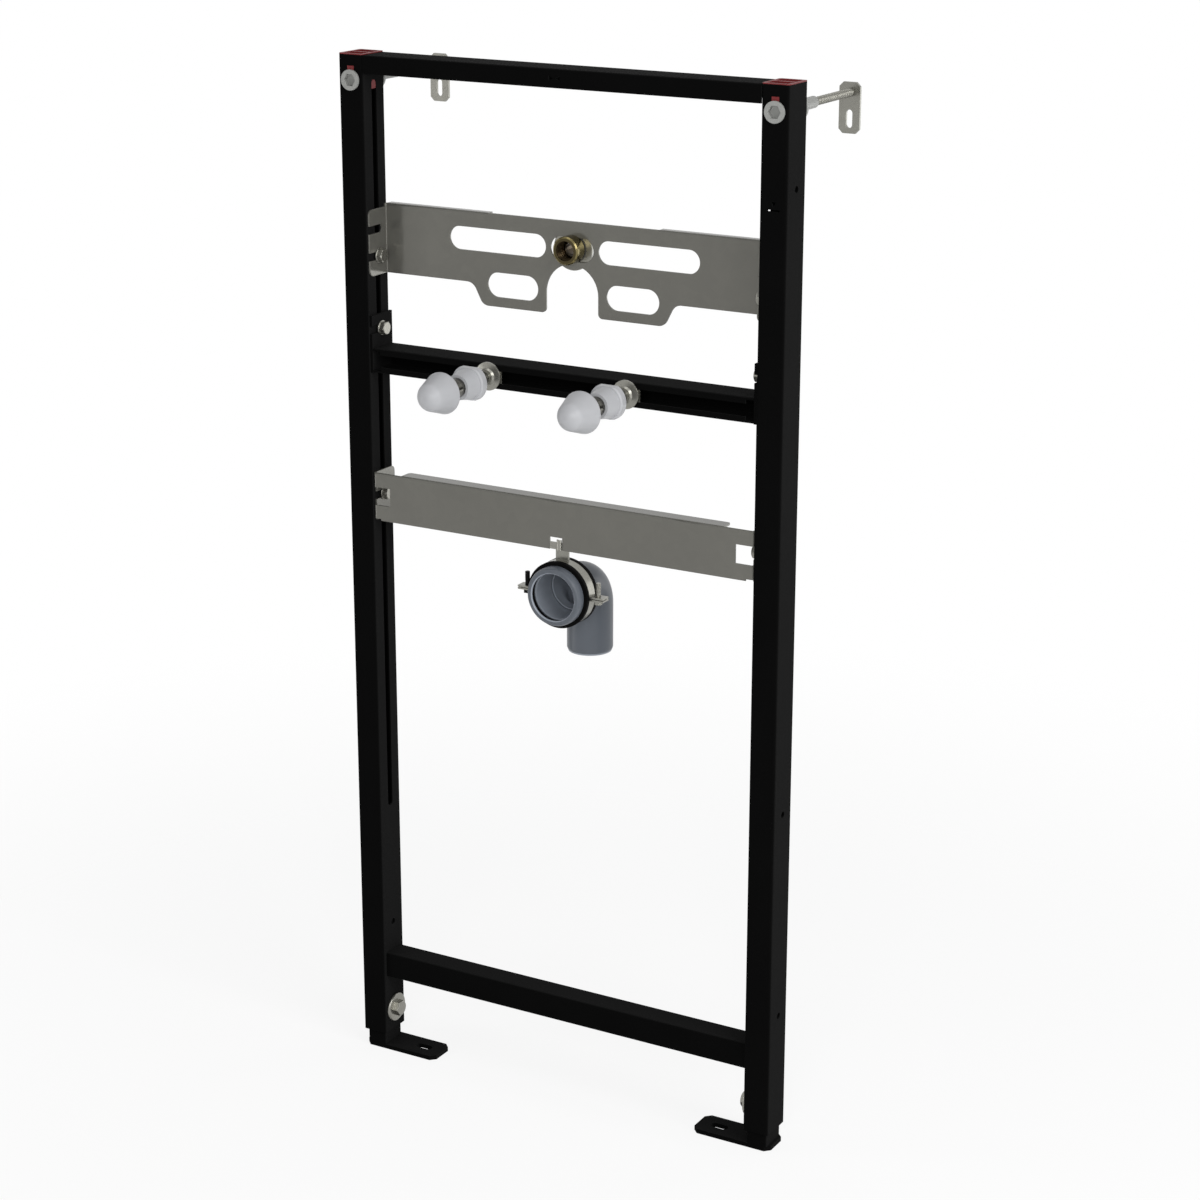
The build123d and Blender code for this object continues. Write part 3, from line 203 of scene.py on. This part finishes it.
# A rolled thread: one ridge that winds up along the rod.
thread_tree, sizes = new_tree(
    "rolled thread", Radius="Float", Pitch="Float", Length="Float", Ridge="Float", Metal="Material")
turns = add(thread_tree, "ShaderNodeMath", {0: sizes["Length"], 1: sizes["Pitch"]}, operation="DIVIDE")
helix = add(thread_tree, "GeometryNodeCurveSpiral", {
    "Resolution": 24, "Rotations": turns, "Height": sizes["Length"],
    "Start Radius": sizes["Radius"], "End Radius": sizes["Radius"],
})
ridge = add(thread_tree, "GeometryNodeCurvePrimitiveCircle", {"Resolution": 4, "Radius": sizes["Ridge"]})
wound = add(thread_tree, "GeometryNodeCurveToMesh", {
    "Curve": helix, "Profile Curve": ridge, "Fill Caps": True,
})
close_tree(thread_tree, wound, sizes["Metal"])


def grow(tree, foot, towards, **inputs):
    # A tree's shape as a plain mesh that stands at foot and points towards a direction.
    holder = bpy.data.objects.new(tree.name, bpy.data.meshes.new(tree.name))
    scene.collection.objects.link(holder)
    modifier = holder.modifiers.new(tree.name, "NODES")
    modifier.node_group = tree
    for item in tree.interface.items_tree:
        if item.in_out == "INPUT":
            modifier[item.identifier] = inputs[item.name]
    bpy.context.view_layer.update()
    mesh = bpy.data.meshes.new_from_object(holder.evaluated_get(bpy.context.evaluated_depsgraph_get()))
    bpy.data.objects.remove(holder)
    turn = Vector((0, 0, 1)).rotation_difference(Vector(towards)).to_matrix().to_4x4()
    mesh.transform(Matrix.Translation(foot) @ turn)
    return mesh


def set_up(name, mesh):
    # Puts a mesh in the scene as a piece that rides on the frame.
    mesh.name = name
    piece = bpy.data.objects.new(name, mesh)
    scene.collection.objects.link(piece)
    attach(piece, "frame")
    return piece


def middle(node):
    # The middle of a CAD node's box.
    low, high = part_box(node)
    return (low + high) / 2


for side in ("left", "right"):
    rod = middle(side + "_wall_rod")
    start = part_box(side + "_rod_sleeve")[1].y
    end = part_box(side + "_wall_plate")[0].y
    rod_thread = grow(thread_tree, (rod.x, start, rod.z), (0, 1, 0),
                      Radius=0.004, Pitch=0.00125, Length=end - start, Ridge=0.00032, Metal=zinc)
    set_up(side + "_wall_rod_thread", rod_thread)


# Leg clamp bolts and rail bolts: zinc plated hexagon bolts, a pair for each height.
# The legs' bolts press on wide discs; the others hold slot nuts inside the uprights.

CHAMFER_CIRCLE = 0.475
CHAMFER_RUN = math.sqrt(3)
CORNER_SHARE = math.sqrt(3)
PRISM_SHARE = 3.0
HEXAGON_TURN = math.radians(30)
WASHER_ROUND = 0.35

bolt_tree, sizes = new_tree(
    "hexagon bolt", Across="Float", Head="Float", Washer="Float", Thickness="Float",
    Shank="Float", Reach="Float", Metal="Material")

# The head is where a hexagon prism and a cone meet, so that its face is a chamfer circle.
# The prism is the longer one, because end faces in one plane would leave the head open.
corner = add(bolt_tree, "ShaderNodeMath", {0: sizes["Across"], 1: CORNER_SHARE}, operation="DIVIDE")
long_head = add(bolt_tree, "ShaderNodeMath", {0: sizes["Head"], 1: PRISM_SHARE}, operation="MULTIPLY")
prism = add(bolt_tree, "GeometryNodeMeshCylinder", {"Vertices": 6, "Radius": corner, "Depth": long_head})
prism = add(bolt_tree, "GeometryNodeTransform", {"Geometry": prism, "Rotation": (0, 0, HEXAGON_TURN)})
face = add(bolt_tree, "ShaderNodeMath", {0: sizes["Across"], 1: CHAMFER_CIRCLE}, operation="MULTIPLY")
foot_radius = add(bolt_tree, "ShaderNodeMath", {
    0: sizes["Head"], 1: CHAMFER_RUN, 2: face,
}, operation="MULTIPLY_ADD")
cone = add(bolt_tree, "GeometryNodeMeshCone", {
    "Vertices": 60, "Radius Top": face, "Radius Bottom": foot_radius, "Depth": sizes["Head"],
})
head = add(bolt_tree, "GeometryNodeMeshBoolean", {"Mesh 2": [prism, cone]}, operation="INTERSECT")
head_foot = add(bolt_tree, "ShaderNodeCombineXYZ", {"Z": sizes["Thickness"]})
head = add(bolt_tree, "GeometryNodeTransform", {"Geometry": head, "Translation": head_foot})

# The washer is a rounded section led round the shank.
width = add(bolt_tree, "ShaderNodeMath", {0: sizes["Washer"], 1: sizes["Shank"]}, operation="SUBTRACT")
middle_radius = add(bolt_tree, "ShaderNodeMath", {
    0: width, 1: 0.5, 2: sizes["Shank"],
}, operation="MULTIPLY_ADD")
washer_round = add(bolt_tree, "ShaderNodeMath", {
    0: sizes["Thickness"], 1: WASHER_ROUND,
}, operation="MULTIPLY")
section = add(bolt_tree, "GeometryNodeCurvePrimitiveQuadrilateral", {
    "Width": width, "Height": sizes["Thickness"],
})
section = add(bolt_tree, "GeometryNodeFilletCurve", {
    "Curve": section, "Count": 3, "Radius": washer_round,
}, mode="POLY")
circle = add(bolt_tree, "GeometryNodeCurvePrimitiveCircle", {"Resolution": 60, "Radius": middle_radius})
washer = add(bolt_tree, "GeometryNodeCurveToMesh", {"Curve": circle, "Profile Curve": section})
half_washer = add(bolt_tree, "ShaderNodeMath", {0: sizes["Thickness"], 1: 0.5}, operation="MULTIPLY")
washer_middle = add(bolt_tree, "ShaderNodeCombineXYZ", {"Z": half_washer})
washer = add(bolt_tree, "GeometryNodeTransform", {"Geometry": washer, "Translation": washer_middle})

shank = add(bolt_tree, "GeometryNodeMeshCylinder", {
    "Vertices": 32, "Radius": sizes["Shank"], "Depth": sizes["Reach"],
})
half_reach = add(bolt_tree, "ShaderNodeMath", {0: sizes["Reach"], 1: -0.5}, operation="MULTIPLY")
shank_middle = add(bolt_tree, "ShaderNodeCombineXYZ", {"Z": half_reach})
shank = add(bolt_tree, "GeometryNodeTransform", {"Geometry": shank, "Translation": shank_middle})
whole = add(bolt_tree, "GeometryNodeJoinGeometry", {"Geometry": [head, washer, shank]})
close_tree(bolt_tree, whole, sizes["Metal"])


SHANK_RADIUS = 0.004
TUBE_WALL = 0.002
SLOT_NUT = Vector((0.005, 0.014, 0.020))
NUT_EDGE = 0.0008
SHARP_ANGLE = math.radians(30)


def bolts(node, held, nut, **head):
    # A pair of bolts in place of a CAD node's plain pair, with their heads towards the middle.
    pair = bmesh.new()
    height = middle(node).z
    for wall, way in ((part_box("left_upright")[1].x, 1), (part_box("right_upright")[0].x, -1)):
        foot = (wall + way * held, 0.0, height)
        bolt = grow(bolt_tree, foot, (way, 0, 0),
                    Shank=SHANK_RADIUS, Reach=held + TUBE_WALL, Metal=zinc, **head)
        pair.from_mesh(bolt)
        if nut:
            centre = (wall - way * (TUBE_WALL + SLOT_NUT.x / 2), 0.0, height)
            place = Matrix.Translation(centre) @ Matrix.Diagonal(SLOT_NUT).to_4x4()
            cube = bmesh.ops.create_cube(pair, size=1.0, matrix=place)["verts"]
            edges = list({edge for vert in cube for edge in vert.link_edges})
            bmesh.ops.bevel(pair, geom=edges, offset=NUT_EDGE, segments=2, affect="EDGES")
    mesh = bpy.data.meshes.new(node)
    pair.to_mesh(mesh)
    pair.free()
    mesh.materials.append(zinc)
    mesh.shade_smooth()
    mesh.set_sharp_from_angle(angle=SHARP_ANGLE)
    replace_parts(set_up(node + "_chamfered", mesh), node)


bolts("leg_clamp_bolts", 0.0, False, Across=0.016, Head=0.0065, Washer=0.0165, Thickness=0.0032)
for node, held in (("water_plate_bolts", 0.002), ("bar_bolts", 0.003), ("drain_plate_bolts", 0.002)):
    bolts(node, held, True, Across=0.013, Head=0.0055, Washer=0.008, Thickness=0.0016)


# Water plate: one piece of galvanised sheet, punched and folded, bolted to the uprights' slots.
# The ends are folded forward and the top edge has two short lips folded back.

# Hot dip zinc whose grey film takes over half of the mirror away: the sheet shows its own folds
# and bolts as soft dark shapes, under a faint spangle.
galvanised, tree, place = new_material("galvanised sheet steel")
cloud = add(tree, "ShaderNodeTexNoise", {"Vector": place, "Scale": MM_PER_M / 110})
spangle = add(tree, "ShaderNodeTexVoronoi", {"Vector": place, "Scale": MM_PER_M / 9})
crystal = add(tree, "ShaderNodeSeparateColor", {"Color": spangle.outputs["Color"]})
shade = add(tree, "ShaderNodeMix", {"Factor": 0.3, "A": cloud, "B": crystal})
tone = add(tree, "ShaderNodeMix", {
    "Factor": shade, "A": linear("#676661"), "B": linear("#6e6d67"),
}, data_type="RGBA")
sheen = add(tree, "ShaderNodeMapRange", {"Value": crystal, "To Min": 0.15, "To Max": 0.2})
along = add(tree, "ShaderNodeMapping", {"Vector": place, "Scale": (0.02, 1.0, 1.0)})
rolling = add(tree, "ShaderNodeTexNoise", {"Vector": along, "Scale": MM_PER_M / 1.5, "Detail": 3.0})
surface(tree, {
    "Base Color": tone, "Metallic": 0.4, "Roughness": sheen, "Specular IOR Level": 0.25,
}, edge=0.0005, grain=rolling, strength=0.02)
coat(galvanised, "water_plate")


# Water outlet: a turned brass body with a half inch thread in its mouth.
# A steel washer and a brass lock nut hold it from behind the plate.

outlet = middle("water_outlet")
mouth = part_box("water_outlet")[0].y
MOUTH_RADIUS = 0.0102
MOUTH_EDGE = 0.0006
MOUTH_INSET = 0.0012
FACE_RADIUS = 0.0128
FACE_EDGE = 0.0008

# A bright turned body, with its face painted duller and its thread painted browner as painted shade, so
# that the mouth reads as deep.
brass, tree, place = new_material("machined brass")
from_axis = add(tree, "ShaderNodeVectorMath", {0: place, 1: outlet}, operation="SUBTRACT")
from_axis = add(tree, "ShaderNodeVectorMath", {0: from_axis, 1: (1, 0, 1)}, operation="MULTIPLY")
radius = add(tree, "ShaderNodeVectorMath", {0: from_axis}, operation="LENGTH")
outside = add(tree, "ShaderNodeMapRange", {
    "Value": radius, "From Min": MOUTH_RADIUS, "From Max": MOUTH_RADIUS + MOUTH_EDGE,
})
turned_body = add(tree, "ShaderNodeMapRange", {
    "Value": radius, "From Min": FACE_RADIUS, "From Max": FACE_RADIUS + FACE_EDGE,
})
film = add(tree, "ShaderNodeTexNoise", {"Vector": place, "Scale": MM_PER_M / 8, "Detail": 3.0})
body_tone = add(tree, "ShaderNodeMix", {
    "Factor": film, "A": linear("#6f6544"), "B": linear("#7d734f"),
}, data_type="RGBA")
# The face, between the mouth and the turned body, is painted darker: painted shade.
face_painted_shade = add(tree, "ShaderNodeMix", {
    "Factor": turned_body, "A": linear("#463f2c"), "B": body_tone,
}, data_type="RGBA")
# The thread inside the mouth is painted browner still: painted shade.
tone = add(tree, "ShaderNodeMix", {
    "Factor": outside, "A": linear("#3f3526"), "B": face_painted_shade,
}, data_type="RGBA")
# Tool marks are some tenths of a millimetre apart, and are drawn coarser so that they show.
turning = add(tree, "ShaderNodeTexWave", {
    "Vector": place, "Scale": MM_PER_M / 6, "Distortion": 1.0,
}, bands_direction="Y")
surface(tree, {
    "Base Color": tone, "Metallic": 1.0, "Roughness": 0.2,
}, edge=0.0005, grain=turning.outputs["Fac"], strength=0.03)
coat(brass, "water_outlet", "outlet_locknut")
coat(zinc, "outlet_washer")
mouth_thread = grow(thread_tree, (outlet.x, mouth + MOUTH_INSET, outlet.z), (0, 1, 0),
                    Radius=MOUTH_RADIUS, Pitch=0.0018, Length=0.0115, Ridge=0.0005, Metal=brass)
set_up("outlet_mouth_thread", mouth_thread)


# Fixing bar: a black channel, open to the front, on two end brackets bolted to the uprights.
# It is rolled steel, powder coated with the frame.

coat(powder_coat, "fixing_bar", "left_bar_bracket", "right_bar_bracket")


# Studs: steel rods in the bar, each with a turned collar, a white bush that goes into the
# urinal's hole, a spacer and a white cap over the end.

# A darker passivated plating than the bolts have, with one clear streak of light along the rod.
dark_zinc, tree, place = new_material("dark passivated zinc")
film = add(tree, "ShaderNodeTexNoise", {"Vector": place, "Scale": MM_PER_M / 4, "Detail": 3.0})
tone = add(tree, "ShaderNodeMix", {
    "Factor": film, "A": linear("#565550"), "B": linear("#66655f"),
}, data_type="RGBA")
sheen = add(tree, "ShaderNodeMapRange", {"Value": film, "To Min": 0.22, "To Max": 0.32})
surface(tree, {
    "Base Color": tone, "Metallic": 1.0, "Roughness": sheen,
}, edge=0.0004, grain=film, strength=0.03)

# A clean pigmented plastic with soft lights, off white so that its roundness shows.
white_plastic, tree, place = new_material("white polyamide")
flow = add(tree, "ShaderNodeTexNoise", {"Vector": place, "Scale": MM_PER_M / 14, "Detail": 3.0})
tone = add(tree, "ShaderNodeMix", {
    "Factor": flow, "A": linear("#abacaf"), "B": linear("#b4b5b8"),
}, data_type="RGBA")
surface(tree, {
    "Base Color": tone, "Roughness": 0.36, "Specular IOR Level": 0.3,
}, edge=0.0007, grain=flow, strength=0.05)

for side in ("left", "right"):
    coat(dark_zinc, side + "_stud")
    coat(zinc, side + "_stud_nut")
    coat(white_plastic, side + "_stud_bush", side + "_stud_cap")
    rod = middle(side + "_stud")
    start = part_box(side + "_stud_bush")[1].y
    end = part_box(side + "_stud_nut")[0].y
    stud_thread = grow(thread_tree, (rod.x, start, rod.z), (0, 1, 0),
                       Radius=0.006, Pitch=0.00175, Length=end - start, Ridge=0.0004, Metal=dark_zinc)
    set_up(side + "_stud_thread", stud_thread)


# Drain plate: a folded strip of the same galvanised sheet, with its lip on top.
# It hangs the pipe clamp and is bolted through windows at its ends.

coat(galvanised, "drain_plate")


# Drain elbow: grey polypropylene of pipe size 50, injection moulded, socket to the front.
# A black rubber ring lies in a groove just inside the socket's mouth.

socket = middle("drain_seal")
PIPE_RADIUS = 0.025
ELBOW_BEND = 0.027
SOCKET_DEPTH = 0.0395
SOCKET_STEP = 0.001
INSIDE_SOCKET = 0.0266
INSIDE_PIPE = 0.0242
socket_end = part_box("drain_elbow")[0].y + SOCKET_DEPTH
spigot_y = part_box("drain_elbow")[1].y - PIPE_RADIUS
bend_centre = Vector((socket.x, spigot_y - ELBOW_BEND, socket.z - ELBOW_BEND))

# The grey of waste pipe, slightly blue, with a satin skin that lights up at its edges. The inside is
# painted paler, as painted light.
grey_plastic, tree, place = new_material("grey polypropylene")
flow = add(tree, "ShaderNodeTexNoise", {"Vector": place, "Scale": MM_PER_M / 40, "Detail": 3.0})
skin = add(tree, "ShaderNodeMix", {
    "Factor": flow, "A": linear("#545960"), "B": linear("#5c6168"),
}, data_type="RGBA")
# How far a point is from the pipe's middle line, which is straight, then bends, then is straight.
from_bend = add(tree, "ShaderNodeVectorMath", {0: place, 1: bend_centre}, operation="SUBTRACT")
part = add(tree, "ShaderNodeSeparateXYZ", {0: from_bend})
past_bend = add(tree, "ShaderNodeVectorMath", {0: from_bend, 1: (0, 0, 0)}, operation="MAXIMUM")
past_bend = add(tree, "ShaderNodeVectorMath", {0: past_bend, 1: (0, 1, 1)}, operation="MULTIPLY")
from_line = add(tree, "ShaderNodeMath", {
    0: add(tree, "ShaderNodeVectorMath", {0: past_bend}, operation="LENGTH"), 1: ELBOW_BEND,
}, operation="SUBTRACT")
radius = add(tree, "ShaderNodeVectorMath", {
    0: add(tree, "ShaderNodeCombineXYZ", {"X": part.outputs["X"], "Y": from_line}),
}, operation="LENGTH")
depth = add(tree, "ShaderNodeSeparateXYZ", {0: place})
wall = add(tree, "ShaderNodeMapRange", {
    "Value": depth.outputs["Y"], "From Min": socket_end, "From Max": socket_end + SOCKET_STEP,
    "To Min": INSIDE_SOCKET, "To Max": INSIDE_PIPE,
})
# Inside the socket and the pipe the grey is painted paler: painted light.
inside = add(tree, "ShaderNodeMath", {0: radius, 1: wall}, operation="LESS_THAN")
tone = add(tree, "ShaderNodeMix", {
    "Factor": inside, "A": skin, "B": linear("#8f959e"),
}, data_type="RGBA")
# The skin's grain is a few tenths of a millimetre, and is drawn coarser so that it shows.
grain = add(tree, "ShaderNodeTexNoise", {"Vector": place, "Scale": MM_PER_M / 1.6})
surface(tree, {
    "Base Color": tone, "Roughness": 0.34, "Specular IOR Level": 0.3,
}, edge=0.0007, grain=grain, strength=0.04)
coat(grey_plastic, "drain_elbow")

# Dull black that swallows light, with a faint grey bloom.
rubber, tree, place = new_material("black EPDM rubber")
bloom = add(tree, "ShaderNodeTexNoise", {"Vector": place, "Scale": MM_PER_M / 6, "Detail": 4.0})
tone = add(tree, "ShaderNodeMix", {
    "Factor": bloom, "A": linear("#080808"), "B": linear("#101010"),
}, data_type="RGBA")
surface(tree, {
    "Base Color": tone, "Roughness": 0.6, "Specular IOR Level": 0.02,
}, edge=0.0005, grain=bloom, strength=0.1)
coat(rubber, "drain_seal")


# Pipe clamp: two zinc plated half bands round a ribbed rubber liner, pulled together by two
# screws. The upper half carries a strap that hooks into the drain plate's notch.

coat(rubber, "clamp_liner")
coat(zinc, "clamp_upper_half", "clamp_lower_half", "right_clamp_screw")

# A thin black finish on steel, with a dim sheen.
black_oxide, tree, place = new_material("black oxide steel")
film = add(tree, "ShaderNodeTexNoise", {"Vector": place, "Scale": MM_PER_M / 3, "Detail": 3.0})
tone = add(tree, "ShaderNodeMix", {
    "Factor": film, "A": linear("#0a0a0a"), "B": linear("#141414"),
}, data_type="RGBA")
surface(tree, {
    "Base Color": tone, "Roughness": 0.45, "Specular IOR Level": 0.06,
}, edge=0.0003, grain=film, strength=0.05)
coat(black_oxide, "left_clamp_screw")

SCREW_THREAD = 0.009
SCREW_TIP = 0.0005
for side, metal, slot in (
    ("left", black_oxide, "black_oxide_steel"),
    ("right", zinc, "zinc_plated_steel"),
):
    screw = middle(side + "_clamp_screw")
    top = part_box(side + "_clamp_screw")[1].z
    screw_thread = grow(thread_tree, (screw.x, screw.y, top - SCREW_TIP - SCREW_THREAD), (0, 0, 1),
                        Radius=0.0025, Pitch=0.0008, Length=SCREW_THREAD, Ridge=0.0002, Metal=metal)
    set_up(side + "_clamp_screw_thread", screw_thread)


# Studio: a pale floor that fades into the white behind it, and plain soft lamps.
# Tall narrow ones at the sides draw the thin lights along bends, edges and round pieces.

FLOOR_RADIUS = 3.0
FLOOR_FADE = (0.45, 1.7)
FLOOR_STEPS = 96
FLOOR_VEIL = 0.85

centre = Vector((middle("top_bar").x, 0.0, 0.0))
steps = [2 * math.pi * step / FLOOR_STEPS for step in range(FLOOR_STEPS)]
rim = [centre + FLOOR_RADIUS * Vector((math.cos(step), math.sin(step), 0.0)) for step in steps]
floor_mesh = bpy.data.meshes.new("floor")
floor_mesh.from_pydata(rim, [], [list(range(FLOOR_STEPS))])
floor = bpy.data.objects.new("floor", floor_mesh)
scene.collection.objects.link(floor)


def seen_rays(tree):
    # One for the rays that show the background itself, nothing for those that light the object.
    ray = add(tree, "ShaderNodeLightPath").outputs
    direct = add(tree, "ShaderNodeMath", {
        0: ray["Is Camera Ray"], 1: ray["Is Glossy Ray"],
    }, operation="MAXIMUM")
    return add(tree, "ShaderNodeMath", {0: direct, 1: ray["Is Transmission Ray"]}, operation="MAXIMUM")


# Where it is seen, the paper's own white lies over most of its shading, so that only a faint
# shadow of the object stays.
floor_paper, tree, place = new_material("white studio paper")
away = add(tree, "ShaderNodeVectorMath", {0: place, 1: centre}, operation="DISTANCE")
fade = add(tree, "ShaderNodeMapRange", {
    "Value": away, "From Min": FLOOR_FADE[0], "From Max": FLOOR_FADE[1],
}, interpolation_type="SMOOTHSTEP")
seen = seen_rays(tree)
fade = add(tree, "ShaderNodeMath", {0: fade, 1: seen}, operation="MULTIPLY")
veil = add(tree, "ShaderNodeMath", {0: seen, 1: FLOOR_VEIL}, operation="MULTIPLY")
matte = add(tree, "ShaderNodeBsdfDiffuse", {"Color": linear("#fdfdfd")})
glow = add(tree, "ShaderNodeEmission", {"Color": linear("#ffffff")})
paper = add(tree, "ShaderNodeMixShader", {0: veil, 1: matte, 2: glow})
clear = add(tree, "ShaderNodeBsdfTransparent")
shader = add(tree, "ShaderNodeMixShader", {0: fade, 1: paper, 2: clear})
add(tree, "ShaderNodeOutputMaterial", {"Surface": shader})
floor_mesh.materials.append(floor_paper)

world = bpy.data.worlds.new("white studio")
scene.world = world
world.use_nodes = True
tree = world.node_tree
tree.nodes.clear()
soft = add(tree, "ShaderNodeBackground", {"Color": linear("#ffffff"), "Strength": 0.12})
white = add(tree, "ShaderNodeBackground", {"Color": linear("#ffffff"), "Strength": 1.0})
backdrop = add(tree, "ShaderNodeMixShader", {0: seen_rays(tree), 1: soft, 2: white})
add(tree, "ShaderNodeOutputWorld", {"Surface": backdrop})

AIM = Vector((centre.x, 0.0, 0.6))
for name, spot, size, power in (
    ("top light", (0.2, 0.2, 6.0), (4.0, 4.0), 75.0),
    ("key light", (3.2, -1.2, 2.6), (2.0, 2.0), 60.0),
    ("front light", (1.5, -2.7, 1.6), (1.2, 1.2), 38.0),
    ("left strip", (-0.95, -0.7, 0.55), (0.25, 1.0), 3.0),
    ("right strip", (1.8, -0.2, 0.55), (0.25, 1.0), 4.0),
    ("rim light", (1.33, 1.8, 0.55), (0.5, 1.0), 3.0),
):
    lamp = bpy.data.lights.new(name, "AREA")
    lamp.shape = "RECTANGLE"
    lamp.size, lamp.size_y = size
    lamp.energy = power
    light = bpy.data.objects.new(name, lamp)
    light.location = spot
    light.rotation_euler = (AIM - Vector(spot)).to_track_quat("-Z", "Y").to_euler()
    scene.collection.objects.link(light)


# Camera: placed so that the frame falls where it stands in the photograph.
# Its angles, stand and focal length were fitted with the sizes that the part has.

AZIMUTH = math.radians(29.807)
ELEVATION = math.radians(17.576)
ROLL = math.radians(0.055)
STAND = Vector((1.677123, -2.426957, 1.467654))
FOCAL_PIXELS = 2794.48
IMAGE_PIXELS = 1200
SENSOR = 36.0

back = Vector((
    math.sin(AZIMUTH) * math.cos(ELEVATION),
    -math.cos(AZIMUTH) * math.cos(ELEVATION),
    math.sin(ELEVATION),
))
right = Vector((0, 0, 1)).cross(back).normalized()
up = back.cross(right)
across = math.cos(ROLL) * right + math.sin(ROLL) * up
upward = math.cos(ROLL) * up - math.sin(ROLL) * right
lens = bpy.data.cameras.new("camera")
lens.sensor_width = SENSOR
lens.lens = FOCAL_PIXELS * SENSOR / IMAGE_PIXELS
camera = bpy.data.objects.new("camera", lens)
camera.matrix_world = Matrix.Translation(STAND) @ Matrix((across, upward, back)).transposed().to_4x4()
scene.collection.objects.link(camera)
scene.camera = camera
scene.view_settings.view_transform = "Standard"
